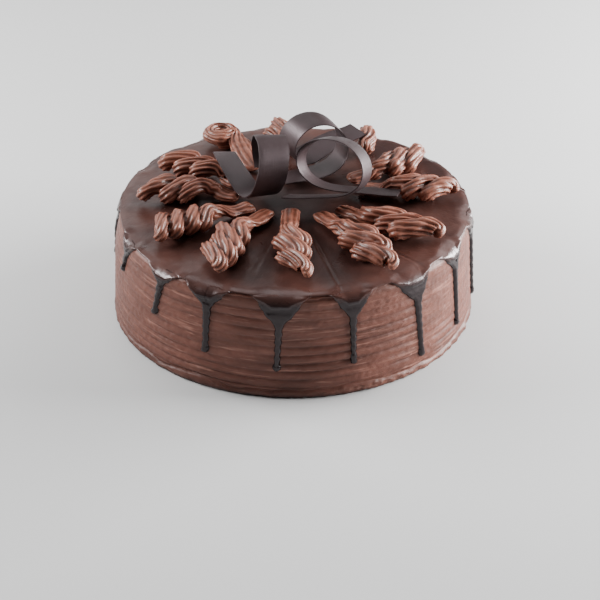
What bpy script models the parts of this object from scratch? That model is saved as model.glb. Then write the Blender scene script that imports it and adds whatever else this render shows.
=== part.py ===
"""Round frosted chocolate cake: comb-ridged side, poured ganache with drips,
twelve piped swirls on the top and three loops of chocolate ribbon in the middle."""
import math

import bmesh
import bpy
from mathutils import Vector

COLLECTION = "sachertorte_cake"
CLEARANCE = 0.0004

CAKE_TOP = 0.0742
BASE_RADIUS = 0.1240
WALL_TAPER = 0.0037 / 0.0700
RIDGE_DEPTH = 0.0009
RIDGE_HEIGHTS = (0.0672, 0.0604, 0.0533, 0.0466, 0.0404, 0.0346, 0.0283, 0.0225, 0.0168, 0.0112)
CAKE_STEPS = 60

GLAZE_TOP = 0.0764
GLAZE_INNER_GAP = 0.00055
GLAZE_SKIN = 0.0017
SKIRT_TOP = 0.0735

# angle at the rim, angle at the tip (degrees), half width at the rim, half width of the stem,
# height of the tip (metres)
DRIPS = (
    (-156.0, -158.5, 0.0115, 0.0029, 0.0490),
    (-134.0, -138.0, 0.0125, 0.0030, 0.0385),
    (-116.8, -117.6, 0.0140, 0.0032, 0.0270),
    (-93.8, -95.0, 0.0145, 0.0027, 0.0200),
    (-71.6, -71.5, 0.0130, 0.0026, 0.0222),
    (-49.8, -48.0, 0.0145, 0.0031, 0.0110),
    (-28.5, -27.6, 0.0130, 0.0030, 0.0140),
    (-7.0, -6.2, 0.0135, 0.0029, 0.0270),
    (15.5, 14.5, 0.0120, 0.0028, 0.0360),
    (38.0, 39.5, 0.0140, 0.0031, 0.0180),
    (60.0, 60.5, 0.0125, 0.0027, 0.0300),
    (83.0, 82.0, 0.0135, 0.0030, 0.0240),
    (106.0, 107.0, 0.0130, 0.0028, 0.0420),
    (128.0, 128.5, 0.0145, 0.0031, 0.0160),
    (150.0, 148.5, 0.0120, 0.0027, 0.0330),
    (176.0, 175.0, 0.0135, 0.0029, 0.0300),
)

# outer end, inner end (metres on the glaze), head length, tail height, sideways bow, loop count
SWIRLS = (
    ((0.003, -0.1070), (-0.001, -0.0125), 0.063, 0.0064, 0.0020, 3.7),
    ((0.063, -0.1000), (0.015, -0.0210), 0.062, 0.0064, -0.0040, 3.8),
    ((0.100, -0.0590), (0.032, -0.0125), 0.057, 0.0064, 0.0025, 3.6),
    ((0.113, 0.0110), (0.042, 0.0160), 0.038, 0.0058, -0.0010, 2.7),
    ((0.096, 0.0575), (0.038, 0.0280), 0.050, 0.0066, 0.0020, 3.5),
    ((0.064, 0.0935), (0.0465, 0.0670), 0.027, 0.0060, 0.0000, 2.2),
    ((-0.008, 0.1060), (-0.008, 0.0660), 0.036, 0.0062, -0.0020, 2.6),
    ((-0.056, 0.0980), (-0.026, 0.0390), 0.050, 0.0064, 0.0020, 3.4),
    ((-0.095, 0.0550), (-0.033, 0.0200), 0.054, 0.0064, -0.0020, 3.6),
    ((-0.107, 0.0060), (-0.036, 0.0020), 0.056, 0.0064, 0.0015, 3.5),
    ((-0.088, -0.0530), (-0.033, -0.0120), 0.052, 0.0060, -0.0020, 3.4),
    ((-0.053, -0.0970), (-0.014, -0.0145), 0.062, 0.0046, 0.0020, 3.8),
)
HEAD_HALF_WIDTH = 0.0146
HEAD_HEIGHT = 0.0158
TAIL_HALF_WIDTH = 0.0062
SWIRL_AROUND = 10
SWIRL_ALONG = 22

RIBBON_WIDTH = 0.022
RIBBON_THICKNESS = 0.0012
RIBBON_STEPS = 40

# start (mm), azimuth and lift of the loop axis at both ends (degrees), first heading (degrees),
# length (mm), sideways drift at both ends, bends along the length (per hundred mm),
# part of the length at full width, end width (mm), part of the length kept,
# share where the free end starts to rise, forward and upward shift of the free end (mm)
CURLS = {
    "chocolate_curl_left": (
        (-47.25, 34.81, 96.93), (225.2, 219.6, 206.9, 202.8, 190.5, 184.8), (20.2, 7.5, 13.0, -6.9), -29.27, 138.5, (-0.03, 0.03),
        (-0.22, 0.23, 3.43, 5.11, 3.52, 5.09, 7.40, 7.65, 7.52), 1.0, 22.0, 1.0, (0.9, 0.0, 0.0)),
    "chocolate_curl_back": (
        (-6.52, 28.0, 79.95), (280.81, 316.40), (6.19, -11.48), 3.08, 205.2, (0.18, 0.21),
        (-1.29, 1.25, 6.79, 4.81, 5.76, 5.68, 4.67, -1.60, -0.60, 1.20), 0.72, 15.0, 1.0,
        (0.66, 36.0, 17.2)),
    "chocolate_curl_right": (
        (-4.60, -14.4, 89.0), (251.23, 250.02), (20.94, 20.9, 20.9, 14.0), 2.03, 205.4, (0.28, 0.13),
        (1.25, -0.42, 7.66, 3.93, 2.28, 8.05, 2.78, -0.69, 1.04), 0.60, 15.0, 1.0,
        (0.55, 8.0, 3.4)),
}


def clear_scene():
    for item in list(bpy.data.objects):
        bpy.data.objects.remove(item, do_unlink=True)
    for group in list(bpy.data.collections):
        bpy.data.collections.remove(group)


def material(name, colour, roughness):
    made = bpy.data.materials.new(name)
    made.use_nodes = True
    shader = made.node_tree.nodes["Principled BSDF"]
    shader.inputs["Base Color"].default_value = (*colour, 1.0)
    shader.inputs["Roughness"].default_value = roughness
    made.diffuse_color = (*colour, 1.0)
    return made


def add_object(name, mesh, group, look):
    item = bpy.data.objects.new(name, mesh)
    group.objects.link(item)
    mesh.materials.append(look)
    return item


def smooth(item, degrees):
    for face in item.data.polygons:
        face.use_smooth = True
    item.data.set_sharp_from_angle(angle=math.radians(degrees))


def wall_radius(z):
    """Radius of the ridge crests at height z."""
    return BASE_RADIUS - WALL_TAPER * z


def cake_profile():
    points = [(0.0, CAKE_TOP), (0.0900, CAKE_TOP), (0.1160, CAKE_TOP), (0.1185, 0.0735),
              (0.1200, 0.0715)]
    for crest, below in zip(RIDGE_HEIGHTS, RIDGE_HEIGHTS[1:] + (0.0045,)):
        points.append((wall_radius(crest), crest))
        middle = 0.5 * (crest + below)
        points.append((wall_radius(middle) - RIDGE_DEPTH, middle))
    points += [(0.1243, 0.0052), (0.1246, 0.0030), (0.1240, 0.0), (0.0, 0.0)]
    return points


def build_cake(group, look):
    mesh = bpy.data.meshes.new("frosted_cake")
    points = cake_profile()
    edges = [(i, i + 1) for i in range(len(points) - 1)]
    mesh.from_pydata([(r, 0.0, z) for r, z in points], edges, [])
    item = add_object("frosted_cake", mesh, group, look)
    turn = item.modifiers.new("turn", "SCREW")
    turn.axis = "Z"
    turn.angle = math.tau
    turn.steps = CAKE_STEPS
    turn.render_steps = CAKE_STEPS
    turn.use_merge_vertices = True
    turn.merge_threshold = 0.00005
    turn.use_smooth_shade = True
    return item


def glaze_columns():
    """Angle, slant, lowest height and skin factor of each column of the ganache sheet."""
    columns = []
    for index, (rim, tip, funnel, stem, low) in enumerate(DRIPS):
        following = DRIPS[(index + 1) % len(DRIPS)]
        slant = tip - rim
        throat = 0.0615 + 0.0030 * math.sin(3.1 * index)
        for offset, floor, skin in (
                (-funnel, 0.0726, 0.75), (-stem - 0.0010, throat, 0.70), (-0.75 * stem, low + 0.0012, 1.25),
                (0.0, low, 1.45), (0.75 * stem, low + 0.0012, 1.25), (stem + 0.0010, throat, 0.70),
                (funnel, 0.0726, 0.75)):
            share = (SKIRT_TOP - floor) / (SKIRT_TOP - low)
            columns.append((rim + math.degrees(offset / 0.120), slant * share, floor, skin))
        span = (following[0] - rim) % 360.0
        left = rim + math.degrees(funnel / 0.120)
        right = rim + span - math.degrees(following[2] / 0.120)
        columns.append((0.5 * (left + right), 0.0, 0.0732, 0.75))
    return columns


def glaze_point(row, angle, slant, floor):
    """Place on the inner side of the ganache sheet for a row counted from the middle outwards."""
    gap = GLAZE_INNER_GAP
    if row == 0:
        return (0.0, 0.0, CAKE_TOP + gap)
    if row == 1:
        radius, z, lean = 0.1155, CAKE_TOP + gap, 0.0
    elif row == 2:
        radius, z, lean = 0.1192, CAKE_TOP - 0.0004, 0.0
    else:
        share = (0.04, 0.45, 1.0)[row - 3]
        z = SKIRT_TOP + (floor - SKIRT_TOP) * share
        lean = slant * share
        rounding = max(0.0, z - 0.0710)
        radius = wall_radius(min(z, 0.0700)) - 0.6 * rounding + gap + 0.0005
    turn = math.radians(angle + lean)
    return (radius * math.cos(turn), radius * math.sin(turn), z)


def build_glaze(group, look):
    columns = glaze_columns()
    count = len(columns)
    rows = 6
    sheet = bmesh.new()
    bmesh.ops.create_grid(sheet, x_segments=rows - 1, y_segments=count, size=1.0)
    sheet.verts.ensure_lookup_table()
    skins = []
    for vert in sheet.verts:
        row = round((vert.co.x + 1.0) * 0.5 * (rows - 1))
        step = round((vert.co.y + 1.0) * 0.5 * count)
        angle, slant, floor, skin = columns[step % count]
        vert.co = Vector(glaze_point(row, angle, slant, floor))
        if row <= 1:
            skins.append(1.0)
        elif row == 2:
            skins.append(0.9)
        elif row == rows - 1:
            skins.append(0.72 * skin)
        else:
            skins.append(skin)
    layer = sheet.verts.layers.float.new("skin")
    sheet.verts.ensure_lookup_table()
    for vert, skin in zip(sheet.verts, skins):
        vert[layer] = skin
    bmesh.ops.remove_doubles(sheet, verts=sheet.verts[:], dist=0.00001)
    bmesh.ops.recalc_face_normals(sheet, faces=sheet.faces[:])
    top = max(sheet.faces, key=lambda face: face.calc_center_median().z)
    if top.normal.z < 0.0:
        bmesh.ops.reverse_faces(sheet, faces=sheet.faces[:])
    kept = [vert[layer] for vert in sheet.verts]
    mesh = bpy.data.meshes.new("ganache_glaze")
    sheet.to_mesh(mesh)
    sheet.free()
    item = add_object("ganache_glaze", mesh, group, look)
    weights = item.vertex_groups.new(name="skin")
    for index, skin in enumerate(kept):
        weights.add([index], min(1.0, skin / 1.45), "REPLACE")
    shell = item.modifiers.new("shell", "SOLIDIFY")
    shell.thickness = GLAZE_SKIN * 1.45
    shell.offset = 1.0
    shell.vertex_group = "skin"
    shell.use_even_offset = False
    smooth(item, 60.0)
    return item


def swirl_shape(t, head_share, tail_height, loops):
    """Half width, height and loop wave of a swirl at the share t of its length."""
    if t < head_share:
        part = t / head_share
        cap = math.sqrt(max(0.0, 1.0 - (1.0 - min(1.0, part / 0.22)) ** 2))
        fall = 1.0 - 0.30 * part ** 2.2
        wave = 0.5 + 0.5 * math.cos(math.tau * loops * (part - 0.5 / loops))
        return HEAD_HALF_WIDTH * cap * fall, HEAD_HEIGHT * cap * (1.0 - 0.25 * part ** 2), wave, 1.0 - part ** 3
    part = (t - head_share) / (1.0 - head_share)
    blend = 1.0 - min(1.0, part / 0.25)
    cap = math.sqrt(max(0.0, 1.0 - max(0.0, (part - 0.78) / 0.22) ** 2))
    wide = TAIL_HALF_WIDTH + (HEAD_HALF_WIDTH * 0.70 - TAIL_HALF_WIDTH) * blend ** 1.5
    high = tail_height + (HEAD_HEIGHT * 0.75 - tail_height) * blend ** 1.5
    return wide * cap * (1.0 - 0.25 * part), high * (0.25 + 0.75 * cap) * (1.0 - 0.18 * part), 0.5, 0.0


def build_swirl(index, group, look):
    outer, inner, head, tail_height, bow, loops = SWIRLS[index]
    start, end = Vector((*outer, 0.0)), Vector((*inner, 0.0))
    run = end - start
    length = run.length
    along = run.normalized()
    across = Vector((-along.y, along.x, 0.0))
    head_share = head / length
    body = bmesh.new()
    bmesh.ops.create_uvsphere(body, u_segments=SWIRL_AROUND, v_segments=SWIRL_ALONG, radius=1.0)
    floor = GLAZE_TOP + CLEARANCE
    for vert in body.verts:
        polar = math.acos(max(-1.0, min(1.0, vert.co.z)))
        t = polar / math.pi
        around = math.atan2(vert.co.y, vert.co.x)
        pole = vert.co.x ** 2 + vert.co.y ** 2 < 1e-8
        wide, high, wave, strength = swirl_shape(t, head_share, tail_height, loops)
        side = 0.0 if pole else math.cos(around)
        lift = 0.0 if pole else math.sin(around)
        level = 0.5 + 0.5 * (lift if lift >= 0.0 else -(-lift) ** 0.35)
        swell = 1.0 - 0.20 * strength * (1.0 - wave) * (0.4 + 0.6 * level)
        swing = 0.0022 * strength * math.sin(math.tau * loops * t / head_share + index)
        lag = 0.0035 * strength * side
        bend = bow * math.sin(math.pi * t)
        place = start + along * (t * length + lag * math.sin(math.pi * t)) + across * (
            wide * swell * side + bend + swing * math.sin(math.pi * min(1.0, t / head_share)))
        lowest = 0.0004 if pole else 0.0
        place.z = floor + max(lowest, high * swell * level)
        vert.co = place
    bmesh.ops.recalc_face_normals(body, faces=body.faces[:])
    if body.calc_volume(signed=True) < 0.0:
        bmesh.ops.reverse_faces(body, faces=body.faces[:])
    mesh = bpy.data.meshes.new("piped_swirl_%02d" % (index + 1))
    body.to_mesh(mesh)
    body.free()
    item = add_object(mesh.name, mesh, group, look)
    smooth(item, 70.0)
    return item


def spread(values, share):
    place = share * (len(values) - 1)
    low = min(int(place), len(values) - 2)
    return values[low] + (values[low + 1] - values[low]) * (place - low)


def ribbon_line(shape, steps):
    """Centre points and width directions of a ribbon that bends about a slowly turning axis."""
    start, azimuths, lifts, heading, length, drifts, bends = shape[:7]
    full, end_width, kept, (free, forward, upward) = shape[7:]

    def axes(share):
        azimuth, lift = math.radians(spread(azimuths, share)), math.radians(spread(lifts, share))
        axis = Vector((math.cos(azimuth) * math.cos(lift), math.sin(azimuth) * math.cos(lift), math.sin(lift)))
        first = Vector((-math.sin(azimuth), math.cos(azimuth), 0.0))
        return axis, first, axis.cross(first)

    fine = steps * 10
    stride = length * kept / fine
    point, turn = Vector(start), math.radians(heading)
    line = [(point * 0.001, axes(0.0)[0], RIBBON_WIDTH)]
    for number in range(fine):
        share = kept * (number + 0.5) / fine
        bend = spread(bends, share) / 100.0
        axis, first, second = axes(share)
        middle = turn + 0.5 * bend * stride
        point = point + stride * (first * math.cos(middle) + second * math.sin(middle)
                                  - axis * spread(drifts, share))
        turn += bend * stride
        if (number + 1) % 10 == 0:
            done = kept * (number + 1) / fine
            narrow = max(0.0, (done - full) / (1.0 - full)) if full < 1.0 else 0.0
            width = RIBBON_WIDTH + (0.001 * end_width - RIBBON_WIDTH) * narrow
            rise = max(0.0, (done - free) / (1.0 - free)) ** 1.3
            place = point + Vector((0.0, -forward * rise, upward * rise))
            line.append((place * 0.001, axes(done)[0], width))
    return line


def build_curl(name, group, look):
    line = ribbon_line(CURLS[name], RIBBON_STEPS)
    strip = bmesh.new()
    bmesh.ops.create_grid(strip, x_segments=RIBBON_STEPS, y_segments=1, size=1.0)
    for vert in strip.verts:
        step = round((vert.co.x + 1.0) * 0.5 * RIBBON_STEPS)
        centre, axis, width = line[step]
        vert.co = centre + axis * (0.5 * width * vert.co.y)
    mesh = bpy.data.meshes.new(name)
    strip.to_mesh(mesh)
    strip.free()
    item = add_object(name, mesh, group, look)
    shell = item.modifiers.new("shell", "SOLIDIFY")
    shell.thickness = RIBBON_THICKNESS
    shell.offset = 0.0
    smooth(item, 50.0)
    return item


def main():
    clear_scene()
    group = bpy.data.collections.new(COLLECTION)
    bpy.context.scene.collection.children.link(group)
    buttercream = material("chocolate_buttercream", (0.118, 0.056, 0.046), 0.62)
    ganache = material("dark_ganache", (0.030, 0.016, 0.014), 0.28)
    piped = material("piped_chocolate_cream", (0.200, 0.088, 0.062), 0.55)
    dark = material("dark_chocolate", (0.045, 0.028, 0.026), 0.35)
    build_cake(group, buttercream)
    build_glaze(group, ganache)
    for index in range(len(SWIRLS)):
        build_swirl(index, group, piped)
    for name in CURLS:
        build_curl(name, group, dark)


main()
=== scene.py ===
import math

import bmesh
import bpy
import numpy as np
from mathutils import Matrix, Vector


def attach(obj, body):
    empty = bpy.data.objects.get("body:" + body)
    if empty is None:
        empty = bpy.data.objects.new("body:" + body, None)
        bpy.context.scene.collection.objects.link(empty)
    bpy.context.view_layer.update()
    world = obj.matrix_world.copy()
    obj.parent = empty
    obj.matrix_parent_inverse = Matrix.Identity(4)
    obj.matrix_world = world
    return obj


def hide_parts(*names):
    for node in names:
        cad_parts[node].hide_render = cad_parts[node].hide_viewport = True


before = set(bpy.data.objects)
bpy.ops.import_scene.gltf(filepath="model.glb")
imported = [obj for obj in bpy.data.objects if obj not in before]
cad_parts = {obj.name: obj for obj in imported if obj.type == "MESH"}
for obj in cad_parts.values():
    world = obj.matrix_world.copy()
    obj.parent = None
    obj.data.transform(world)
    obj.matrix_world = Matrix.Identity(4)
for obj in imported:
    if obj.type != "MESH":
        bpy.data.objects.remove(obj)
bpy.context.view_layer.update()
TAU = math.tau

# all lengths are in metres unless a comment says otherwise
BASE_RADIUS = 0.1240
LARGEST_RADIUS = 0.12455
WALL_TAPER = 0.0037 / 0.0700
SHOULDER_START = 0.0690
SHOULDER_HEIGHT = 0.0052
SHOULDER_DEPTH = 0.0048
GLAZE_TOP = 0.0764
BEAD_HEIGHT = 0.0046
# where the lowest comb line starts and the highest ends, and the crest heights and groove depths
COMB_START = 0.0078
COMB_END = 0.0712
RIDGE_HEIGHTS = (0.0112, 0.0168, 0.0225, 0.0283, 0.0346, 0.0404, 0.0466, 0.0533, 0.0604, 0.0668)
RIDGE_DEPTHS = (0.0011, 0.0009, 0.0011, 0.0010, 0.0011, 0.0010, 0.0009, 0.0010, 0.0008, 0.0007)

# angle at the rim and at the tip (degrees), half width of the funnel on the left and on the right,
# height of its throat, half width of the stem, height of the tip
DRIPS = (
    (-156.0, -158.5, 0.0130, 0.0110, 0.0640, 0.0027, 0.0490),
    (-134.0, -138.0, 0.0150, 0.0125, 0.0650, 0.0029, 0.0385),
    (-116.8, -117.6, 0.0165, 0.0140, 0.0620, 0.0029, 0.0260),
    (-93.8, -95.0, 0.0165, 0.0160, 0.0552, 0.0025, 0.0200),
    (-71.6, -71.5, 0.0135, 0.0130, 0.0585, 0.0025, 0.0222),
    (-49.0, -46.9, 0.0175, 0.0125, 0.0560, 0.0029, 0.0110),
    (-28.5, -27.6, 0.0150, 0.0110, 0.0610, 0.0027, 0.0140),
    (-7.0, -6.6, 0.0135, 0.0120, 0.0600, 0.0027, 0.0125),
    (15.5, 14.5, 0.0120, 0.0130, 0.0630, 0.0026, 0.0360),
    (38.0, 39.5, 0.0140, 0.0150, 0.0590, 0.0028, 0.0180),
    (60.0, 60.5, 0.0125, 0.0120, 0.0620, 0.0025, 0.0300),
    (83.0, 82.0, 0.0145, 0.0130, 0.0580, 0.0027, 0.0240),
    (106.0, 107.0, 0.0130, 0.0140, 0.0630, 0.0026, 0.0420),
    (128.0, 128.5, 0.0145, 0.0150, 0.0590, 0.0028, 0.0160),
    (150.0, 148.5, 0.0120, 0.0130, 0.0620, 0.0025, 0.0330),
    (176.0, 175.0, 0.0140, 0.0130, 0.0610, 0.0026, 0.0300),
)

# outer end, inner end, head length, tail height, sideways bow, loops, sideways reach,
# shear of the loops along the swirl (0 for a head that is one ring), rope radius
SWIRLS = (
    ((0.003, -0.1075), (-0.001, -0.0125), 0.062, 0.0064, 0.0020, 3, 0.0060, 0.0036, 0.0062),
    ((0.0585, -0.1010), (0.016, -0.0180), 0.066, 0.0066, -0.0040, 3, 0.0074, 0.0058, 0.0066),
    ((0.0955, -0.0585), (0.028, -0.0120), 0.060, 0.0066, 0.0025, 3, 0.0076, 0.0056, 0.0066),
    ((0.112, 0.0010), (0.042, 0.0150), 0.050, 0.0066, -0.0010, 3, 0.0072, 0.0046, 0.0062),
    ((0.096, 0.0575), (0.036, 0.0250), 0.053, 0.0078, 0.0020, 3, 0.0070, 0.0056, 0.0064),
    ((0.062, 0.0925), (0.0465, 0.0670), 0.030, 0.0060, 0.0000, 1, 0.0070, 0.0030, 0.0062),
    ((-0.004, 0.1060), (-0.008, 0.0660), 0.038, 0.0062, -0.0020, 2, 0.0070, 0.0030, 0.0060),
    ((-0.0562, 0.0985), (-0.026, 0.0390), 0.024, 0.0080, 0.0000, 1, 0.0082, 0.0000, 0.0058),
    ((-0.090, 0.0545), (-0.033, 0.0200), 0.054, 0.0066, -0.0020, 3, 0.0082, 0.0046, 0.0056),
    ((-0.105, 0.0060), (-0.034, 0.0020), 0.055, 0.0068, 0.0015, 3, 0.0082, 0.0046, 0.0056),
    ((-0.0955, -0.0520), (-0.024, -0.0090), 0.056, 0.0066, -0.0020, 4, 0.0078, 0.0036, 0.0053),
    ((-0.055, -0.0975), (-0.014, -0.0145), 0.062, 0.0062, 0.0020, 4, 0.0080, 0.0052, 0.0060),
)
HEAD_TOP = 0.0154

RIBBON_WIDTH = 0.022
RIBBON_THICKNESS = 0.0012
# start (mm), azimuths and lifts of the loop axis along the length (degrees), first heading (degrees),
# length (mm), sideways drift at both ends, bends along the length (per hundred mm),
# part of the length at full width, end width (mm),
# share where the free end starts to rise, forward and upward shift of the free end (mm)
CURLS = {
    "chocolate_curl_left": (
        (-47.25, 34.81, 96.93), (225.2, 219.6, 206.9, 202.8, 190.5, 184.8), (20.2, 7.5, 13.0, -6.9),
        -29.27, 138.5, (-0.03, 0.03),
        (-0.22, 0.23, 3.43, 5.11, 3.52, 5.09, 7.40, 7.65, 7.52), 1.0, 22.0, (0.9, 0.0, 0.0)),
    "chocolate_curl_back": (
        (-6.52, 28.0, 79.95), (280.81, 316.40), (6.19, -11.48), 3.08, 205.2, (0.18, 0.21),
        (-1.29, 1.25, 6.79, 4.81, 5.76, 5.68, 4.67, -1.60, -0.60, 1.20), 0.72, 15.0,
        (0.66, 36.0, 17.2)),
    "chocolate_curl_right": (
        (-4.60, -14.4, 89.0), (251.23, 250.02), (20.94, 20.9, 20.9, 1.5), 2.03, 205.4, (0.28, 0.13),
        (1.25, -0.42, 7.66, 3.93, 2.28, 8.05, 2.78, -0.69, 1.04), 0.60, 11.0,
        (0.55, 8.0, 3.4)),
}


def waves(seed, count, turns, heights, power=0.6):
    """A smooth random field over angle and height that closes on itself round the cake."""
    draw = np.random.default_rng(seed)
    around = draw.integers(turns[0], turns[1] + 1, count)
    upward = draw.uniform(-heights, heights, count)
    phase = draw.uniform(0.0, TAU, count)
    size = 1.0 / np.maximum(1.0, around / max(1.0, turns[0])) ** power
    size = size / math.sqrt(0.5 * float((size ** 2).sum()))

    def field(angle, height):
        total = np.zeros(np.broadcast(angle, height).shape)
        for m, n, p, s in zip(around, upward, phase, size):
            total += s * np.cos(m * angle + n * height + p)
        return total
    return field


def step(low, high, value):
    """Smooth rise from 0 at low to 1 at high."""
    t = np.clip((value - low) / (high - low), 0.0, 1.0)
    return t * t * (3.0 - 2.0 * t)


def quarter_round(share):
    """Height of a quarter circle: 0 at share 0, 1 from share 1 on."""
    return np.sqrt(np.clip(1.0 - (1.0 - np.clip(share, 0.0, 1.0)) ** 2, 0.0, 1.0))


def make_mesh(name, points, faces):
    mesh = bpy.data.meshes.new(name)
    points = np.asarray(points, dtype=np.float32)
    faces = np.asarray(faces, dtype=np.int32)
    mesh.vertices.add(len(points))
    mesh.vertices.foreach_set("co", points.ravel())
    mesh.loops.add(faces.size)
    mesh.loops.foreach_set("vertex_index", faces.ravel())
    mesh.polygons.add(len(faces))
    size = faces.shape[1]
    mesh.polygons.foreach_set("loop_start", np.arange(0, faces.size, size, dtype=np.int32))
    mesh.polygons.foreach_set("loop_total", np.full(len(faces), size, dtype=np.int32))
    mesh.update(calc_edges=True)
    mesh.validate()
    item = bpy.data.objects.new(name, mesh)
    bpy.context.scene.collection.objects.link(item)
    mesh.shade_smooth()
    return item


def add_faces(item, faces):
    """Closes a mesh with more faces, each a list of point numbers."""
    body = bmesh.new()
    body.from_mesh(item.data)
    body.verts.ensure_lookup_table()
    for face in faces:
        body.faces.new([body.verts[i] for i in face])
    bmesh.ops.recalc_face_normals(body, faces=body.faces[:])
    body.to_mesh(item.data)
    body.free()


def grid_faces(rows, columns):
    """Quads of a rows by columns sheet of points whose columns close on themselves."""
    r, c = np.meshgrid(np.arange(rows - 1), np.arange(columns), indexing="ij")
    n = (c + 1) % columns
    return np.stack([r * columns + c, r * columns + n, (r + 1) * columns + n, (r + 1) * columns + c],
                    axis=-1).reshape(-1, 4)


def store(item, name, values):
    """Keeps one number per point for the materials."""
    layer = item.data.attributes.new(name, "FLOAT", "POINT")
    layer.data.foreach_set("value", np.asarray(values, dtype=np.float32).ravel())


def finish_piece(item, look, node):
    """Gives a piece its material and body, and lets it stand for its CAD node."""
    item.data.materials.append(look)
    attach(item, "root")
    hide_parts(node)


def wall_radius(z):
    """Radius of the side, which leans in a little towards the top."""
    return BASE_RADIUS - WALL_TAPER * z


def shoulder_rounding(z):
    """How far the rounded upper edge lies inside the wall."""
    top = np.clip((z - SHOULDER_START) / SHOULDER_HEIGHT, 0.0, 1.0)
    return SHOULDER_DEPTH * (1.0 - np.sqrt(np.clip(1.0 - top ** 2, 0.0, 1.0)))


sway_field = waves(11, 14, (1, 9), 30.0)
depth_field = waves(12, 26, (2, 22), 160.0)
grain_field = waves(13, 60, (40, 190), 1500.0, 0.3)
broad_field = waves(14, 12, (1, 7), 40.0)
crumb_field = waves(15, 60, (90, 300), 1600.0, 0.2)
foot_field = waves(21, 20, (3, 40), 10.0, 0.4)
lump_field = waves(22, 30, (20, 95), 300.0, 0.3)
streak_field = waves(16, 40, (6, 60), 1800.0, 0.3)


def bump_at(angle, middle, width):
    """One soft bump over the angle, in degrees."""
    away = (np.degrees(angle) - middle + 180.0) % 360.0 - 180.0
    return np.exp(-(away / width) ** 2)


def comb_strength(angle, z):
    """How deep the comb cut: shallow at the right and left of the front, where the cream was smoothed."""
    smooth = (0.72 * bump_at(angle, -28.0, 30.0) * (0.35 + 0.65 * step(0.018, 0.034, z))
              + 0.45 * bump_at(angle, -160.0, 32.0) + 0.40 * bump_at(angle, 70.0, 30.0))
    return 1.0 - np.clip(smooth, 0.0, 0.8)


def ridge_relief(angle, z):
    """How far the combed buttercream lies inside the crest line."""
    level = z + 0.00055 * sway_field(angle, z)
    relief = np.zeros(np.broadcast(angle, z).shape)
    between = [0.5 * (a + b) for a, b in zip(RIDGE_HEIGHTS, RIDGE_HEIGHTS[1:])]
    bounds = [COMB_START] + between + [COMB_END]
    for depth, low, high in zip(RIDGE_DEPTHS, bounds, bounds[1:]):
        inside = (level >= low) & (level < high)
        t = np.clip((level - low) / (high - low), 0.0, 1.0)
        crown = 1.0 - np.abs(2.0 * (t ** 0.8) - 1.0) ** 2.6
        relief = np.where(inside, depth * (1.0 - crown), relief)
    fade = np.clip(0.85 + 0.45 * depth_field(angle, z), 0.25, 1.25)
    return relief * fade * comb_strength(angle, z)


def lean_in(angle, radius, z):
    """How much further in the rim stands at the left."""
    return 0.0029 * bump_at(angle, 186.0, 26.0) * step(0.048, 0.071, z) * step(0.085, 0.118, radius)


def bead_strength(angle):
    """Where the foot bead is thick and crumbly."""
    thick = (bump_at(angle, -48.0, 30.0) + 0.8 * bump_at(angle, 40.0, 40.0)
             + 0.7 * bump_at(angle, 140.0, 35.0))
    return np.clip(thick, 0.0, 1.0)


def frosting_radius(angle, z):
    """Radius of the combed side with its foot bead, the groove over the bead and its rounded edges."""
    radius = wall_radius(z) - ridge_relief(angle, z)
    radius -= 0.00012 + 0.00018 * broad_field(angle, z) + 0.00007 * grain_field(angle, z)
    radius -= 0.00010 * np.clip(streak_field(angle, z) - 0.9, 0.0, 2.0)
    edge = BEAD_HEIGHT + 0.0009 * foot_field(angle, z * 0.0)
    groove = np.exp(-((z - edge - 0.0014) / 0.0011) ** 2)
    radius -= 0.0011 * groove
    foot = step(edge + 0.0006, edge - 0.0012, z)
    crumbs = np.clip(crumb_field(angle, z), -0.6, 1.6)
    rough = 0.45 + 0.75 * bead_strength(angle)
    radius += foot * (0.0001 + 0.00028 * lump_field(angle, z) + 0.00016 * crumbs) * rough
    radius -= 0.0012 * step(0.0018, 0.0, z)
    radius -= shoulder_rounding(z)
    return np.minimum(radius, LARGEST_RADIUS) - lean_in(angle, radius, z)


def build_frosting(look):
    columns = 648
    heights = np.concatenate([np.linspace(0.0, 0.0090, 19)[:-1], np.linspace(0.0090, 0.0700, 88)[:-1],
                              np.linspace(0.0700, 0.0741, 10)])
    angle = np.arange(columns) * TAU / columns
    turn, z = np.meshgrid(angle, heights)
    radius = frosting_radius(turn, z)
    wall = np.stack([radius * np.cos(turn), radius * np.sin(turn), z], axis=-1).reshape(-1, 3)
    item = make_mesh("frosted_side", wall, grid_faces(len(heights), columns))
    # depth of the comb grooves, which the buttercream's look darkens as painted shade
    store(item, "hollow", ridge_relief(turn, z) / max(RIDGE_DEPTHS))
    store(item, "height", z)
    store(item, "bead", np.broadcast_to(bead_strength(turn), turn.shape))
    start = (len(heights) - 1) * columns
    add_faces(item, (range(columns - 1, -1, -1), range(start, start + columns)))
    finish_piece(item, look, "frosted_cake")


def smooth_line(marks, count):
    """Evenly spaced points on a rounded line through the marks."""
    points = np.array(marks, dtype=float)
    for _ in range(3):
        cut = [points[0]]
        for a, b in zip(points, points[1:]):
            cut += [0.8 * a + 0.2 * b, 0.2 * a + 0.8 * b]
        cut.append(points[-1])
        points = np.array(cut)
    gaps = np.concatenate([[0.0], np.cumsum(np.linalg.norm(np.diff(points, axis=0), axis=1))])
    at = np.linspace(0.0, gaps[-1], count)
    return np.stack([np.interp(at, gaps, points[:, k]) for k in range(2)], axis=1)


def nearest(x, z, line):
    """Distance of each point from a line in the unrolled wall."""
    best = np.full(x.shape, 1e9)
    for a, b in zip(line, line[1:]):
        d = b - a
        size = float(d @ d)
        if size < 1e-16:
            continue
        t = np.clip(((x - a[0]) * d[0] + (z - a[1]) * d[1]) / size, 0.0, 1.0)
        best = np.minimum(best, np.hypot(x - a[0] - t * d[0], z - a[1] - t * d[1]))
    return best


SECTOR_COLUMNS = 40
SKIRT_ROWS = 54
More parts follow.
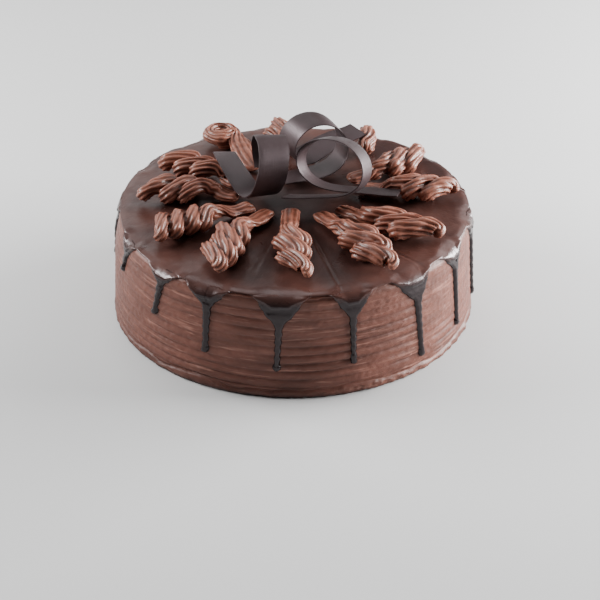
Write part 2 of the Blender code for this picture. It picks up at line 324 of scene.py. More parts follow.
# radii at which widths along the rim, the slant of a drip and widths on the wall become angles
RIM_ARC = 0.1183
SLANT_ARC = 0.120
WALL_ARC = 0.1210
# height from which the ganache counts as the poured top, and the height over which it becomes a drip
POURED_FROM = 0.0735
POURED_FADE = 0.006
# start radius, reach, foot height and rise of the rounded rim: between two drips and over a drip
ROLL_SHARP = np.array([0.1142, 0.0072, 0.0712, 0.0046])
ROLL_SOFT = np.array([0.1095, 0.0134, 0.0665, 0.0093])
LIP_HEIGHT = 0.0742
LIP_START = LIP_HEIGHT - 0.0005
# rings of the poured top; those outside STRETCH_FROM are stretched so that the last meets the lip
STRETCH_FROM = 0.100
STRETCH_SPAN = 0.0185
DISC_RADII = [0.0006] + [0.006 + 0.0058 * count for count in range(18)] + [
    0.1080, 0.1105, 0.1125, 0.1140, 0.1152, 0.1162, 0.1171, 0.1179]
score_field = waves(18, 10, (0, 3), 260.0, 0.0)
dome_field = waves(19, 12, (2, 11), 60.0, 0.5)


def drip_side(index, sign, half_sector):
    """Edge of one side of a drip: half width against height, from the rim between drips to the tip."""
    left, right, throat, stem, low = DRIPS[index][2:]
    draw = np.random.default_rng(200 + 2 * index + (1 if sign > 0 else 0))
    funnel = left if sign < 0 else right
    lip = LIP_HEIGHT - 0.0007 + 0.0004 * draw.uniform(-1.0, 1.0)
    fall = lip - throat
    shoulder = [(half_sector, LIP_START), (0.5 * (half_sector + funnel * 1.15), lip),
                (funnel * 1.15, lip - 0.0007)]
    cone = [(funnel * 0.98, lip - 0.13 * fall), (funnel * 0.86, lip - 0.30 * fall),
            (funnel * 0.74 + stem * 0.06, lip - 0.50 * fall),
            (funnel * 0.52 + stem * 0.20, lip - 0.72 * fall),
            (funnel * 0.22 + stem * 0.85, lip - 0.92 * fall)]
    run = [(stem * 1.25, throat - 0.0010), (stem * 1.05, throat - 0.0060),
           (stem * 0.90, 0.5 * (throat + low)), (stem * 0.80, low + 0.0085)]
    drop = [(stem * 0.88, low + 0.0055), (stem * 1.12, low + 0.0030), (stem * 0.98, low + 0.0012),
            (stem * 0.55, low + 0.0003), (0.0, low)]
    marks = shoulder + cone + run + drop
    line = smooth_line(marks, SKIRT_ROWS + 1)
    inside = step(half_sector, funnel, line[:, 0])
    wobble = (0.00032 * np.sin(TAU * line[:, 1] / 0.0061 + draw.uniform(0.0, TAU))
              + 0.00018 * np.sin(TAU * line[:, 1] / 0.0029 + draw.uniform(0.0, TAU)))
    line[:, 0] = np.maximum(0.0, line[:, 0] + wobble * inside * step(0.0, 0.0012, line[:, 0]))
    line[0] = (half_sector, LIP_START)
    return line


def shoulder_radius(angle, z):
    """Frosting surface under the glaze, with its rounded shoulder."""
    return wall_radius(z) - 0.0002 - shoulder_rounding(z) - 0.65 * ridge_relief(angle, z)


def rolled_rim(weight):
    """Start, reach, foot, rise and lip radius of the rim for each column."""
    start, reach, foot, rise = [a + (b - a) * weight for a, b in zip(ROLL_SHARP, ROLL_SOFT)]
    lip = start + reach * np.sqrt(1.0 - ((LIP_HEIGHT - foot) / rise) ** 2)
    return start, reach, foot, rise, lip


def top_height(angle, radius, rim):
    """Height of the poured top, with the scored portion lines and its rounded rim."""
    start, reach, foot, rise = rim[:4]
    away = (np.degrees(angle) - 15.0) % 30.0
    side = np.where(away > 15.0, away - 30.0, away)
    distance = np.radians(side) * radius
    scored = step(0.040, 0.060, radius) * step(0.1185, 0.1120, radius)
    scored = scored * np.clip(0.45 + 0.55 * score_field(angle, radius), 0.0, 1.0)
    groove = np.exp(-(distance / 0.00075) ** 2) * scored
    ridge = (np.exp(-((distance - 0.0019) / 0.0008) ** 2)
             + 0.6 * np.exp(-((distance + 0.0017) / 0.0007) ** 2))
    height = GLAZE_TOP - 0.00075 + 0.00016 * ridge * scored - 0.00065 * groove
    height = height + 0.00024 * dome_field(angle, radius) * step(0.010, 0.050, radius)
    outward = np.maximum(0.0, (radius - start) / reach)
    rolled = foot + rise * np.sqrt(np.clip(1.0 - outward ** 2, 0.0, 1.0))
    share = step(start - 0.006, start + 0.003, radius)
    return height * (1.0 - share) + (rolled - 0.0006 * groove) * share, groove


def top_layers(column, rim):
    """Rings of the poured top over one drip's sector, from the middle out: angle, radius, height, groove."""
    layers = []
    lip = rim[4]
    for ring in DISC_RADII:
        stretched = STRETCH_FROM + (ring - STRETCH_FROM) * (lip - STRETCH_FROM) / STRETCH_SPAN
        radius = np.where(ring > STRETCH_FROM, stretched, ring)
        height, groove = top_height(column, radius, rim)
        layers.append((column, radius, height, groove))
    layers.append((column, lip, np.full(column.shape, LIP_HEIGHT), groove * 0.0))
    return layers


def skirt_layers(index, share, bent, half_left, half_right, rim):
    """Rows of the ganache that runs down the side, from the lip to the tip of the drip."""
    here, tip, low = math.radians(DRIPS[index][0]), DRIPS[index][1], DRIPS[index][6]
    start, reach, foot, rise = rim[:4]
    left, right = drip_side(index, -1.0, half_left), drip_side(index, 1.0, half_right)
    left_line = left * np.array([-1.0, 1.0])
    slant = math.radians(tip - DRIPS[index][0]) * SLANT_ARC
    layers = []
    for row in range(SKIRT_ROWS + 1):
        x = np.where(share < 0.0, -bent * left[row, 0], bent * right[row, 0])
        z = np.where(share < 0.0, left[row, 1], right[row, 1])
        gap = np.minimum(nearest(x, z, left_line), nearest(x, z, right))
        lean = slant * np.clip((LIP_HEIGHT - z) / (LIP_HEIGHT - low), 0.0, 1.0)
        turn = here + (x + lean) / np.where(z > 0.070, RIM_ARC, WALL_ARC)
        rounded = quarter_round(gap / 0.0023)
        drop = step(low + 0.0085, low + 0.0030, z)
        thick = 0.0015 + 0.0005 * step(0.0660, 0.0600, z) + 0.0003 * drop
        under = shoulder_radius(turn, z)
        upward = np.clip((z - foot) / rise, 0.0, 1.0)
        roll = start + reach * np.sqrt(np.clip(1.0 - upward ** 2, 0.0, 1.0))
        full = np.where(z > foot, np.minimum(roll, under + 0.0030), under + thick)
        blend = step(foot - 0.004, foot + 0.002, z)
        full = full * blend + (under + thick) * (1.0 - blend)
        radius = under - 0.0007 + (full - under + 0.0007) * rounded
        layers.append((turn, radius, z, np.zeros(turn.shape)))
    return layers


def build_glaze(look):
    rims = [math.radians(drip[0]) for drip in DRIPS]
    share = np.linspace(-1.0, 1.0, SECTOR_COLUMNS + 1)
    bent = np.abs(0.62 * share + 0.38 * share ** 3)
    body = bmesh.new()
    seam = body.verts.layers.float.new("seam")
    # poured: 1 on the poured top, fading to 0 down the drips; the ganache's look gives the drips a painted
    # darker shade and a glossier finish
    poured = body.verts.layers.float.new("poured")
    # middle: 1 near the middle of the top, where the ganache's look paints shade under the curls and is
    # rougher
    middle = body.verts.layers.float.new("middle")
    for index, here in enumerate(rims):
        half_left = 0.5 * ((here - rims[index - 1]) % TAU) * RIM_ARC
        half_right = 0.5 * ((rims[(index + 1) % len(rims)] - here) % TAU) * RIM_ARC
        spot = np.where(share < 0.0, -bent * half_left, bent * half_right)
        funnel = np.where(share < 0.0, DRIPS[index][2], DRIPS[index][3])
        rim = rolled_rim(step(1.20 * funnel, 0.50 * funnel, np.abs(spot)))
        layers = top_layers(here + spot / RIM_ARC, rim)
        layers += skirt_layers(index, share, bent, half_left, half_right, rim)
        grid = []
        for turn, radius, z, groove in layers:
            verts = []
            radius = radius - lean_in(turn, radius, z)
            for t, r, h, g in zip(turn, np.broadcast_to(radius, turn.shape), z, groove):
                vert = body.verts.new((r * math.cos(t), r * math.sin(t), h))
                vert[seam] = g
                vert[poured] = 1.0 if h > POURED_FROM else max(0.0, 1.0 - (POURED_FROM - h) / POURED_FADE)
                vert[middle] = float(1.0 - step(0.012, 0.042, r))
                verts.append(vert)
            grid.append(verts)
        for upper, lower in zip(grid, grid[1:]):
            for c in range(SECTOR_COLUMNS):
                body.faces.new((upper[c], upper[c + 1], lower[c + 1], lower[c]))
    bmesh.ops.remove_doubles(body, verts=body.verts[:], dist=0.00002)
    bmesh.ops.recalc_face_normals(body, faces=body.faces[:])
    mesh = bpy.data.meshes.new("poured_ganache")
    body.to_mesh(mesh)
    body.free()
    mesh.shade_smooth()
    item = bpy.data.objects.new("poured_ganache", mesh)
    bpy.context.scene.collection.objects.link(item)
    finish_piece(item, look, "ganache_glaze")


# ridges round the piped rope, and the extra ones of a ring-headed swirl
ROPE_LOBES = 9
RING_EXTRA_LOBES = 3
TWIST = 0.35
TAIL_HALF_WIDTH = 0.0068
RING_TAIL_WIDENING = 1.25
ROPE_SIDES = 72
ROPE_STEPS = 330
HEAD_STEPS = int(ROPE_STEPS * 0.80)
TAIL_STEPS = ROPE_STEPS - HEAD_STEPS
START_STEPS, END_STEPS = 8.0, 7.0
# share of the rope radius at which the rope's centre lies over the glaze, and how far it sinks in
SETTLED = 0.93
SUNK = 0.0003
MERGE_SIZE = 0.00047


def is_ring(index):
    return SWIRLS[index][7] == 0.0


def bezier(start, leave, arrive, end, share):
    s = share[:, None]
    return ((1 - s) ** 3 * start + 3 * (1 - s) ** 2 * s * leave
            + 3 * (1 - s) * s ** 2 * arrive + s ** 3 * end)


def swirl_path(index):
    """Centre line (inward, sideways, up), rope radius, flatness and turns of one swirl."""
    outer, inner, head, tail, bow, loops, reach, shear, rope = SWIRLS[index]
    draw = np.random.default_rng(300 + index)
    length = math.dist(outer, inner)
    last = math.pi * (2 * loops - 1)
    pitch = (head - 2.0 * shear - 2.0 * rope) / (loops - 0.5)
    wind = np.linspace(-0.9, last, HEAD_STEPS)
    turns = wind / TAU
    knots = draw.uniform(-1.0, 1.0, (4, 2 * loops + 3))

    def wander(row):
        """Smooth random drift between -1 and 1 along the head."""
        at = np.clip(turns * 2.0 + 1.0, 0.0, 2 * loops + 2.0)
        low = np.minimum(at.astype(int), 2 * loops + 1)
        mix = at - low
        mix = mix * mix * (3.0 - 2.0 * mix)
        return knots[row][low] * (1.0 - mix) + knots[row][low + 1] * mix

    full = 0.84 + 0.16 * step(-0.2, 0.9, turns) - 0.08 * step(loops - 1.2, loops - 0.5, turns)
    closing = 1.0 - 0.70 * step(loops - 1.0, loops - 0.5, turns)
    wide = reach * full * (1.0 + 0.16 * wander(0)) * closing
    forward = rope + shear + pitch * turns - shear * full * np.cos(wind) + 0.0014 * wander(1)
    sideways = -wide * np.cos(wind) + 0.0007 * wander(2)
    high = (HEAD_TOP - 2.0 * rope * SETTLED) * 0.5
    level = rope * SETTLED + high * (1.0 + np.sin(wind)) * (0.90 + 0.10 * full) + 0.0003 * wander(3)
    thick = rope * (0.94 + 0.06 * full) * (1.0 + 0.05 * wander(1))
    after = np.linspace(0.0, 1.0, TAIL_STEPS + 1)[1:]
    end = np.array([length - 0.002, 0.0, tail * 0.50])
    if is_ring(index):
        forward, sideways, level, thick, curve = rosette(reach, rope, after, end)
    else:
        start = np.array([forward[-1], sideways[-1], level[-1]])
        curve = bezier(start, start + np.array([0.010, 0.0, -0.0022]), end + np.array([-0.018, 0.0, 0.0]),
                       end, after)
    path = np.concatenate([np.stack([forward, sideways, level], axis=1), curve])
    path[:, 1] += bow * np.sin(np.clip(path[:, 0] / length, 0.0, 1.0) * math.pi)
    narrowed = step(0.0, 0.55, after)
    thin = thick[-1] * (1.0 - narrowed) + tail * 0.54 * narrowed
    thin = thin * (1.0 - 0.10 * step(0.72, 1.0, after))
    radius = np.concatenate([thick, thin])
    flat = np.concatenate([np.zeros(HEAD_STEPS), step(0.0, 0.5, after)])
    return path, radius, flat, np.concatenate([turns, np.full(TAIL_STEPS, turns[-1])])


def rosette(reach, rope, after, end):
    """Centre line of a swirl that starts as a ring, climbs over its own start and runs inward."""
    wind = np.linspace(-1.30 * math.pi, 1.15 * math.pi, HEAD_STEPS)
    climb = (wind - wind[0]) / (wind[-1] - wind[0])
    size = reach * (0.72 + 0.34 * np.sin(climb * math.pi))
    forward = rope + 1.05 * reach - size * np.cos(wind)
    sideways = -size * np.sin(wind)
    level = rope * SETTLED + (HEAD_TOP - 2.0 * rope * SETTLED) * climb ** 0.8
    thick = rope * (0.90 + 0.14 * np.sin(climb * math.pi))
    start = np.array([forward[-1], sideways[-1], level[-1]])
    heading = np.array([forward[-1] - forward[-6], sideways[-1] - sideways[-6], 0.0])
    heading = 0.012 * heading / np.linalg.norm(heading)
    curve = bezier(start, start + heading + np.array([0.003, 0.0, -0.0015]),
                   end + np.array([-0.020, 0.0, 0.0015]), end, after)
    return forward, sideways, level, thick, curve


def rope_frames(path, flat):
    """Upward and sideways directions along the rope, without twist, and level in the flat tail."""
    tangent = np.gradient(path, axis=0)
    tangent /= np.linalg.norm(tangent, axis=1)[:, None]
    normal = np.zeros_like(path)
    current = np.array([0.0, 0.0, 1.0])
    for i in range(len(path)):
        current = current - tangent[i] * (current @ tangent[i])
        current /= np.linalg.norm(current)
        normal[i] = current
    side = np.cross(tangent, normal)
    upright = np.array([0.0, 0.0, 1.0]) - tangent * tangent[:, 2:3]
    tilt = np.arctan2((upright * side).sum(1), (upright * normal).sum(1))
    tilt = np.unwrap(np.where(flat > 0.0, tilt, 0.0))
    tilt = flat * (tilt - math.pi * round(tilt[-1] / math.pi))
    ahead, beside = np.cos(tilt)[:, None], np.sin(tilt)[:, None]
    return normal * ahead + side * beside, side * ahead - normal * beside


def rope_section(index, path, flat, turns, around):
    """Star-shaped section of the piped rope at each step: share of the rope radius round the rope."""
    draw = np.random.default_rng(500 + index)
    run = np.concatenate([[0.0], np.cumsum(np.linalg.norm(np.diff(path, axis=0), axis=1))])
    drift = 0.15 * np.sin(run / 0.017 + index) + draw.uniform(0.0, TAU) - TWIST * TAU * turns
    around, run = around[None, :], run[:, None]
    count = ROPE_LOBES + (RING_EXTRA_LOBES if is_ring(index) else 0)
    lobes = np.abs(np.sin(0.5 * count * (around + drift[:, None])))
    lobes = 0.45 * lobes ** 0.8 + 0.55 * np.arcsin(np.clip(lobes, 0.0, 1.0)) * 2.0 / math.pi
    uneven = 1.0 + 0.045 * np.sin(around * 2.0 + run / 0.009) * np.sin(run / 0.0031 + index)
    uneven = uneven + 0.035 * np.sin(around * 3.0 - run / 0.0052 + index)
    depth = (0.27 + 0.04 * flat)[:, None] * (1.0 + 0.35 * np.sin(around + index + run / 0.03))
    return (1.0 - depth * (1.0 - lobes)) * uneven


def build_swirl(index, look):
    outer, inner = SWIRLS[index][:2]
    path, rope, flat, turns = swirl_path(index)
    steps = len(path)
    for _ in range(2):
        path[1:-1] = 0.25 * path[:-2] + 0.5 * path[1:-1] + 0.25 * path[2:]
    normal, side = rope_frames(path, flat)
    around = np.arange(ROPE_SIDES) * TAU / ROPE_SIDES
    radius = rope[:, None] * rope_section(index, path, flat, turns, around)
    place = np.arange(steps)
    closing = np.maximum(quarter_round(place / START_STEPS), 0.1)
    closing = closing * np.maximum(quarter_round((steps - 1 - place) / END_STEPS), 0.1)
    radius = radius * closing[:, None]
    half_width = TAIL_HALF_WIDTH * (RING_TAIL_WIDENING if is_ring(index) else 1.0)
    stretch = (1.0 + (half_width / np.maximum(rope, 0.0020) - 1.0) * flat)[:, None, None]
    squash = (1.0 - 0.08 * flat)[:, None, None]
    points = (path[:, None, :] + squash * (radius * np.cos(around))[:, :, None] * normal[:, None, :]
              + stretch * (radius * np.sin(around))[:, :, None] * side[:, None, :])
    along = np.array([inner[0] - outer[0], inner[1] - outer[1]])
    along /= np.linalg.norm(along)
    across = np.array([-along[1], along[0]])
    points = points.reshape(-1, 3)
    world = np.stack([outer[0] + points[:, 0] * along[0] + points[:, 1] * across[0],
                      outer[1] + points[:, 0] * along[1] + points[:, 1] * across[1],
                      GLAZE_TOP - SUNK + np.maximum(points[:, 2], 0.0)], axis=1)
    faces = grid_faces(steps, ROPE_SIDES)
    tip = len(world)
    world = np.concatenate([world, world[:ROPE_SIDES].mean(0)[None], world[-ROPE_SIDES:].mean(0)[None]])
    item = make_mesh("piped_swirl_piece_%02d" % (index + 1), world, faces)
    ends = ((0, tip), ((steps - 1) * ROPE_SIDES, tip + 1))
    add_faces(item, [(base + c, base + (c + 1) % ROPE_SIDES, end)
                     for base, end in ends for c in range(ROPE_SIDES)])
    merge_piece(item, index)
    finish_piece(item, look, "piped_swirl_%02d" % (index + 1))


def merge_piece(item, index):
    """Joins the loops of one swirl into one soft skin and stores how far each point stands out."""
    shrink = item.modifiers.new("merge", "REMESH")
    shrink.mode = "VOXEL"
    shrink.voxel_size = MERGE_SIZE
    evaluated = item.evaluated_get(bpy.context.evaluated_depsgraph_get())
    merged = bpy.data.meshes.new_from_object(evaluated)
    item.modifiers.clear()
    item.data = merged
    count = len(merged.vertices)
    points = np.empty(count * 3, dtype=np.float32)
    merged.vertices.foreach_get("co", points)
    points = points.reshape(-1, 3).astype(float)
    ends = np.empty(len(merged.edges) * 2, dtype=np.int32)
    merged.edges.foreach_get("vertices", ends)
    first = np.concatenate([ends[0::2], ends[1::2]])
    second = np.concatenate([ends[1::2], ends[0::2]])
    share = 1.0 / np.maximum(1, np.bincount(first, minlength=count))

    def relax(values, strength):
        """Moves each point towards the mean of its neighbours."""
        moved = np.stack([np.bincount(first, values[second, k], count) * share for k in range(3)], axis=1)
        return values + strength * (moved - values)

    points = relax(relax(points, 0.55), 0.35)
    push = np.zeros(count)
    draw = np.random.default_rng(600 + index)
    for size, depth in ((0.0130, 0.00026), (0.0075, 0.00012)):
        for _ in range(6):
            way = draw.normal(size=3)
            way /= np.linalg.norm(way)
            push += depth * 0.6 * np.sin(points @ way * TAU / size + draw.uniform(0.0, TAU))
    merged.vertices.foreach_set("co", points.astype(np.float32).ravel())
    merged.update()
    normals = np.empty(count * 3, dtype=np.float32)
    merged.vertices.foreach_get("normal", normals)
    normals = normals.reshape(-1, 3)
    inside = step(GLAZE_TOP - 0.0002, GLAZE_TOP + 0.0012, points[:, 2])
    points = points + normals * (push * inside)[:, None]
    smooth = points
    for _ in range(14):
        smooth = relax(smooth, 0.6)
    # how far each point stands out; the cream's look paints shade into the hollows and a highlight onto the
    # ridges from it
    store(item, "crest", np.clip(((points - smooth) * normals).sum(1) / 0.00022, -1.0, 1.0))
    points[:, 2] = np.clip(points[:, 2], GLAZE_TOP - SUNK, GLAZE_TOP + HEAD_TOP + 0.0006)
    merged.vertices.foreach_set("co", points.astype(np.float32).ravel())
    merged.update()
    merged.shade_smooth()


def spread(values, share):
    """Value at a share of the length, between evenly spaced values."""
    place = share * (len(values) - 1)
    low = min(int(place), len(values) - 2)
    return values[low] + (values[low + 1] - values[low]) * (place - low)


RIBBON_STEPS = 240
RIBBON_HALF_SIDES = 12
STRIDES_PER_STEP = 4
MM = 0.001


def ribbon_line(shape):
    """Centre points, width directions and widths of a ribbon that bends about a slowly turning axis."""
    start, azimuths, lifts, heading, length, drifts, bends = shape[:7]
    full, end_width, (free, forward, upward) = shape[7:]

    def axes(share):
        azimuth, lift = math.radians(spread(azimuths, share)), math.radians(spread(lifts, share))
        axis = Vector((math.cos(azimuth) * math.cos(lift), math.sin(azimuth) * math.cos(lift),
                       math.sin(lift)))
        first = Vector((-math.sin(azimuth), math.cos(azimuth), 0.0))
        return axis, first, axis.cross(first)

    fine = RIBBON_STEPS * STRIDES_PER_STEP
    stride = length / fine
    point, turn = Vector(start), math.radians(heading)
    line = [(point * MM, axes(0.0)[0], RIBBON_WIDTH)]
    for number in range(fine):
        share = (number + 0.5) / fine
        bend = spread(bends, share) / 100.0
        axis, first, second = axes(share)
        middle = turn + 0.5 * bend * stride
        point = point + stride * (first * math.cos(middle) + second * math.sin(middle)
                                  - axis * spread(drifts, share))
        turn += bend * stride
        if (number + 1) % STRIDES_PER_STEP == 0:
            done = (number + 1) / fine
            narrow = max(0.0, (done - full) / (1.0 - full)) if full < 1.0 else 0.0
            width = RIBBON_WIDTH + (MM * end_width - RIBBON_WIDTH) * narrow
            rise = max(0.0, (done - free) / (1.0 - free)) ** 1.3
            place = point + Vector((0.0, -forward * rise, upward * rise))
            line.append((place * MM, axes(done)[0], width))
    return line


def build_curl(index, name, look):
    line = ribbon_line(CURLS[name])
    centre = np.array([p[0][:] for p in line])
    axis = np.array([p[1][:] for p in line])
    width = np.array([p[2] for p in line])
    tangent = np.gradient(centre, axis=0)
    tangent /= np.linalg.norm(tangent, axis=1)[:, None]
    across = axis - tangent * (axis * tangent).sum(1)[:, None]
    across = across / np.linalg.norm(across, axis=1)[:, None]
    face = np.cross(tangent, across)
    along = np.linspace(0.0, 1.0, RIBBON_STEPS + 1)
    draw = np.random.default_rng(400 + index)
    ragged = []
    for _ in range(2):
        wave = sum(draw.uniform(0.3, 1.0) * np.sin(k * 7.0 * along + draw.uniform(0.0, TAU))
                   for k in (1, 2, 4, 7, 13))
        ragged.append(wave * 0.00010)
    levels = np.linspace(-1.0, 1.0, RIBBON_HALF_SIDES)
    ring = [(u, 1.0) for u in levels] + [(u, -1.0) for u in levels[::-1]]
    rows = []
    for u, sign in ring:
        edge = width * 0.5 - 0.00015 + (ragged[0] if u > 0 else ragged[1]) * abs(u)
        thin = RIBBON_THICKNESS * 0.5 * (1.0 - 0.35 * abs(u) ** 8) - 0.00004
        rows.append(centre + axis * (u * edge)[:, None] + face * (sign * thin))
    sides = len(ring)
    points = np.stack(rows, axis=1).reshape(-1, 3)
    item = make_mesh(name + "_ribbon", points, grid_faces(RIBBON_STEPS + 1, sides))
    store(item, "along", np.repeat(along * CURLS[name][4] * MM, sides))
    store(item, "across", np.tile(np.array([u * RIBBON_WIDTH * 0.5 for u, _ in ring]), RIBBON_STEPS + 1))
    add_faces(item, [(base + c, base + c + 1, base + sides - 2 - c, base + sides - 1 - c)
                     for base in (0, RIBBON_STEPS * sides) for c in range(RIBBON_HALF_SIDES - 1)])
    item.data.set_sharp_from_angle(angle=math.radians(38.0))
    finish_piece(item, look, name)


class Shader:
    """Short names for building one node material."""

    def __init__(self, name):
        self.made = bpy.data.materials.new(name)
        self.made.use_nodes = True
        self.tree = self.made.node_tree
        self.main = self.tree.nodes["Principled BSDF"]

    def node(self, kind, **settings):
        made = self.tree.nodes.new(kind)
        for key, value in settings.items():
            setattr(made, key, value)
        return made

    def link(self, a, b):
        self.tree.links.new(a, b)

    def attribute(self, name):
        return self.node("ShaderNodeAttribute", attribute_name=name).outputs["Fac"]

    def noise(self, scale, detail, rough, where, distortion=0.0):
        made = self.node("ShaderNodeTexNoise")
        made.inputs["Scale"].default_value = scale
        made.inputs["Detail"].default_value = detail
        made.inputs["Roughness"].default_value = rough
        made.inputs["Distortion"].default_value = distortion
        self.link(where, made.inputs["Vector"])
        return made.outputs["Fac"]

    def place(self, scale=(1.0, 1.0, 1.0)):
        """Object coordinates, stretched by the scale."""
        coords = self.node("ShaderNodeTexCoord")
        mapping = self.node("ShaderNodeMapping")
        mapping.inputs["Scale"].default_value = scale
        self.link(coords.outputs["Object"], mapping.inputs["Vector"])
        return mapping.outputs["Vector"]

    def ramp(self, value, stops):
        made = self.node("ShaderNodeValToRGB")
        table = made.color_ramp
        for element, (position, colour) in zip(table.elements, (stops[0], stops[-1])):
            element.position, element.color = position, (*colour, 1.0)
        for position, colour in stops[1:-1]:
            table.elements.new(position).color = (*colour, 1.0)
        self.link(value, made.inputs["Fac"])
        return made.outputs["Color"]

    def mix(self, share, a, b):
        made = self.node("ShaderNodeMix", data_type="RGBA")
        for socket, value in ((made.inputs[0], share), (made.inputs[6], a), (made.inputs[7], b)):
            if isinstance(value, bpy.types.NodeSocket):
                self.link(value, socket)
            elif isinstance(value, tuple):
                socket.default_value = (*value, 1.0)
            else:
                socket.default_value = value
        return made.outputs[2]

    def math(self, operation, a, b, clamp=False):
        made = self.node("ShaderNodeMath", operation=operation)
        made.use_clamp = clamp
        for socket, value in zip(made.inputs, (a, b)):
            if isinstance(value, bpy.types.NodeSocket):
                self.link(value, socket)
            else:
                socket.default_value = value
        return made.outputs[0]

    def over(self, value, start, factor):
        """How far the value is over the start, times the factor, between 0 and 1."""
        return self.math("MULTIPLY", self.math("SUBTRACT", value, start, True), factor, True)

    def below(self, value, height):
        """1 where the value is 0, falling to 0 at the height."""
        return self.math("SUBTRACT", 1.0, self.math("DIVIDE", value, height), True)

    def soft_inside(self):
        """The little light that passes through buttercream and cream."""
        self.main.inputs["Subsurface Weight"].default_value = 0.12
        self.main.inputs["Subsurface Radius"].default_value = (0.0030, 0.0012, 0.0008)
        self.main.inputs["Subsurface Scale"].default_value = 1.0

    def bump(self, value, distance, strength):
        made = self.node("ShaderNodeBump")
        made.inputs["Strength"].default_value = strength
        made.inputs["Distance"].default_value = distance
        self.link(value, made.inputs["Height"])
        self.link(made.outputs["Normal"], self.main.inputs["Normal"])


def linear(red, green, blue):
    """Scene colour of a display colour given in 0 to 255."""
    def one(value):
        value /= 255.0
        return value / 12.92 if value <= 0.04045 else ((value + 0.055) / 1.055) ** 2.4
    return one(red), one(green), one(blue)


def buttercream_material():
    s = Shader("chocolate_buttercream_look")
    where = s.place((1.0, 1.0, 3.2))
    broad = s.noise(34.0, 5.0, 0.6, where)
    base = s.ramp(broad, [(0.30, linear(85, 50, 40)), (0.52, linear(100, 60, 49)),
                          (0.72, linear(114, 71, 59))])
    # painted shade: the comb grooves are darkened by their depth
    base = s.mix(s.math("MULTIPLY", s.attribute("hollow"), 0.62, True), base, linear(58, 30, 24))
    streak = s.noise(60.0, 3.0, 0.5, s.place((0.6, 0.6, 9.0)), 0.4)
    base = s.mix(s.over(streak, 0.57, 4.0), base, linear(158, 112, 98))
    height, bead = s.attribute("height"), s.attribute("bead")
    flecks = s.noise(900.0, 2.0, 0.6, s.place())
    fleck = s.math("MULTIPLY", s.below(height, 0.0065), s.over(flecks, 0.50, 6.0), True)
    crumbly = s.math("ADD", s.math("MULTIPLY", bead, 0.9), 0.1, True)
    base = s.mix(s.math("MULTIPLY", fleck, crumbly, True), base, linear(168, 124, 108))
    # painted shade: the side darkens towards the bottom (shade), and a painted contact shadow runs along the
    # lowest 3 mm (foot), both fainter where the bead is thick
    plain = s.math("SUBTRACT", 1.0, s.math("MULTIPLY", bead, 0.8), True)
    shade = s.math("MULTIPLY", s.below(height, 0.014), plain)
    base = s.mix(s.math("MULTIPLY", shade, 0.75, True), base, linear(58, 31, 26))
    foot = s.math("MULTIPLY", s.below(height, 0.0030), plain, True)
    base = s.mix(foot, base, linear(38, 19, 16))
    s.link(base, s.main.inputs["Base Color"])
    s.main.inputs["Roughness"].default_value = 0.48
    s.main.inputs["Specular IOR Level"].default_value = 0.30
    s.soft_inside()
    grain = s.noise(700.0, 4.0, 0.6, s.place((1.0, 1.0, 2.4)))
    s.bump(s.math("ADD", grain, s.math("MULTIPLY", s.noise(150.0, 3.0, 0.5, where), 0.7)), 0.00022, 0.8)
    return s.made


def ganache_material():
    s = Shader("dark_ganache_look")
    broad = s.noise(22.0, 4.0, 0.6, s.place())
    poured, middle = s.attribute("poured"), s.attribute("middle")
    base = s.ramp(broad, [(0.30, linear(46, 26, 23)), (0.70, linear(80, 50, 43))])
    # painted shade: the ganache that runs down the side is much darker than the poured top
    base = s.mix(poured, linear(22, 14, 15), base)
    base = s.mix(s.math("MULTIPLY", s.attribute("seam"), 0.35, True), base, linear(92, 58, 48))
    # painted shade: the middle of the top, under the chocolate curls, is darkened
    base = s.mix(s.math("MULTIPLY", middle, 0.75), base, linear(24, 14, 13))
    s.link(base, s.main.inputs["Base Color"])
    satin = s.noise(46.0, 6.0, 0.65, s.place(), 0.8)
    rough = s.ramp(satin, [(0.3, (0.24,) * 3), (0.7, (0.44,) * 3)])
    rough = s.mix(middle, rough, (0.58,) * 3)
    rough = s.mix(poured, (0.20,) * 3, rough)
    s.link(rough, s.main.inputs["Roughness"])
    s.main.inputs["Specular IOR Level"].default_value = 0.38
    s.main.inputs["Specular Tint"].default_value = (1.0, 0.90, 0.92, 1.0)
    fine = s.math("MULTIPLY", s.noise(420.0, 3.0, 0.5, s.place()), 0.10)
    s.bump(s.math("ADD", s.noise(75.0, 4.0, 0.55, s.place(), 0.6), fine), 0.0007, 0.6)
    return s.made


def cream_material():
    s = Shader("piped_chocolate_cream_look")
    broad = s.noise(60.0, 4.0, 0.6, s.place())
    base = s.ramp(broad, [(0.30, linear(101, 57, 44)), (0.55, linear(114, 67, 52)),
                          (0.75, linear(127, 77, 62))])
    # painted shade: the cream darkens in the hollows between its ridges (groove); painted highlight: it
    # lightens on the ridges (crest)
    crest = s.attribute("crest")
    groove = s.math("MULTIPLY", s.math("MULTIPLY", crest, -1.0), 0.68, True)
    base = s.mix(groove, base, linear(54, 26, 20))
    base = s.mix(s.over(crest, 0.10, 0.5), base, linear(160, 108, 92))
    s.link(base, s.main.inputs["Base Color"])
    s.main.inputs["Roughness"].default_value = 0.37
    s.main.inputs["Specular IOR Level"].default_value = 0.33
    s.soft_inside()
    s.bump(s.noise(620.0, 4.0, 0.6, s.place()), 0.00026, 0.6)
    return s.made


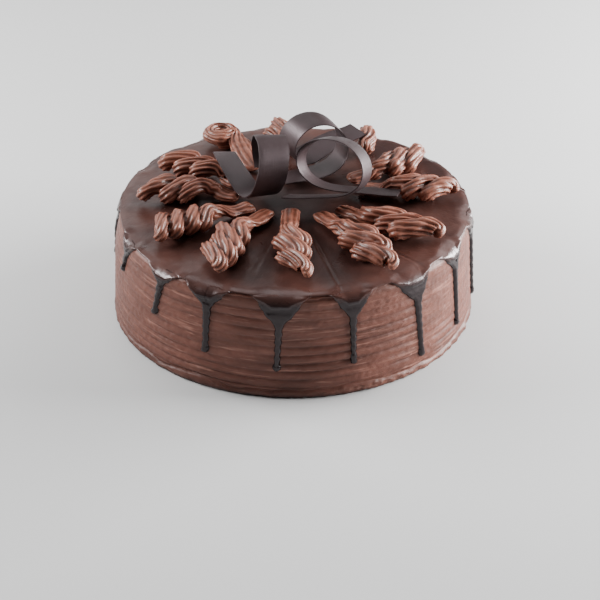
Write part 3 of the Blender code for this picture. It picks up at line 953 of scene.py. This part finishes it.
def dark_chocolate_material():
    s = Shader("dark_chocolate_look")
    join = s.node("ShaderNodeCombineXYZ")
    s.link(s.math("MULTIPLY", s.attribute("along"), 0.10), join.inputs[0])
    s.link(s.attribute("across"), join.inputs[1])
    lines = s.noise(1500.0, 4.0, 0.6, join.outputs[0])
    broad = s.noise(40.0, 3.0, 0.5, s.place())
    base = s.ramp(broad, [(0.3, linear(32, 22, 22)), (0.7, linear(46, 35, 36))])
    base = s.mix(s.over(lines, 0.52, 1.6), base, linear(66, 53, 55))
    s.link(base, s.main.inputs["Base Color"])
    rough = s.ramp(lines, [(0.3, (0.38,) * 3), (0.7, (0.52,) * 3)])
    s.link(rough, s.main.inputs["Roughness"])
    s.main.inputs["Specular IOR Level"].default_value = 0.50
    s.main.inputs["Specular Tint"].default_value = (1.0, 0.81, 0.86, 1.0)
    s.bump(lines, 0.00014, 0.6)
    return s.made


MIDDLE = (0.0, 0.0, 0.06)
FLOOR_HALF = 6.0


def area_light(name, place, size, power):
    """A white lamp of the given width and height that faces the middle of the cake."""
    data = bpy.data.lights.new(name, "AREA")
    data.shape = "RECTANGLE"
    data.size, data.size_y = size
    data.energy = power
    item = bpy.data.objects.new(name, data)
    bpy.context.scene.collection.objects.link(item)
    item.location = place
    item.rotation_euler = (Vector(MIDDLE) - Vector(place)).to_track_quat("-Z", "Y").to_euler()


def build_studio():
    floor_mesh = bpy.data.meshes.new("floor")
    corners = [(x * FLOOR_HALF, y * FLOOR_HALF, 0.0) for x, y in ((-1, -1), (1, -1), (1, 1), (-1, 1))]
    floor_mesh.from_pydata(corners, [], [(0, 1, 2, 3)])
    floor = bpy.data.objects.new("floor", floor_mesh)
    bpy.context.scene.collection.objects.link(floor)
    floor.location = (0.0, 0.0, -0.0002)
    s = Shader("studio_floor")
    s.main.inputs["Base Color"].default_value = (0.55, 0.55, 0.55, 1.0)
    s.main.inputs["Roughness"].default_value = 0.9
    s.main.inputs["Specular IOR Level"].default_value = 0.0
    floor_mesh.materials.append(s.made)

    world = bpy.data.worlds.new("studio")
    bpy.context.scene.world = world
    world.use_nodes = True
    tree = world.node_tree
    tree.nodes.clear()
    out = tree.nodes.new("ShaderNodeOutputWorld")
    back = tree.nodes.new("ShaderNodeBackground")
    back.inputs["Color"].default_value = (1.0, 1.0, 1.0, 1.0)
    back.inputs["Strength"].default_value = 0.16
    tree.links.new(back.outputs[0], out.inputs["Surface"])

    area_light("right_softbox", (0.94, 0.20, 0.28), (0.85, 0.26), 56.0)
    area_light("left_softbox", (-0.90, 0.16, 0.50), (0.70, 0.20), 21.0)
    area_light("top_softbox", (-0.15, 0.25, 1.15), (0.60, 0.60), 4.6)
    area_light("back_softbox", (-0.42, 1.12, 0.58), (0.90, 0.60), 2.8)
    area_light("back_right_softbox", (0.63, 0.81, 0.69), (0.45, 0.45), 2.4)


def build_camera():
    """The camera of the photograph: its distance and height in metres, its turns in radians."""
    distance, height, yaw, pitch = 1.1901, 0.7268, 0.0041, 0.5489
    focal_pixels, picture_pixels = 2000.0, 600.0
    data = bpy.data.cameras.new("photo_camera")
    data.sensor_width = 36.0
    data.lens = focal_pixels * data.sensor_width / picture_pixels
    item = bpy.data.objects.new("photo_camera", data)
    bpy.context.scene.collection.objects.link(item)
    item.location = (0.0, -distance, height)
    item.rotation_euler = (math.pi / 2.0 - pitch, 0.0, -yaw)
    bpy.context.scene.camera = item


build_camera()
build_studio()
build_frosting(buttercream_material())
build_glaze(ganache_material())
cream = cream_material()
for swirl in range(len(SWIRLS)):
    build_swirl(swirl, cream)
chocolate = dark_chocolate_material()
for number, curl in enumerate(CURLS):
    build_curl(number, curl, chocolate)
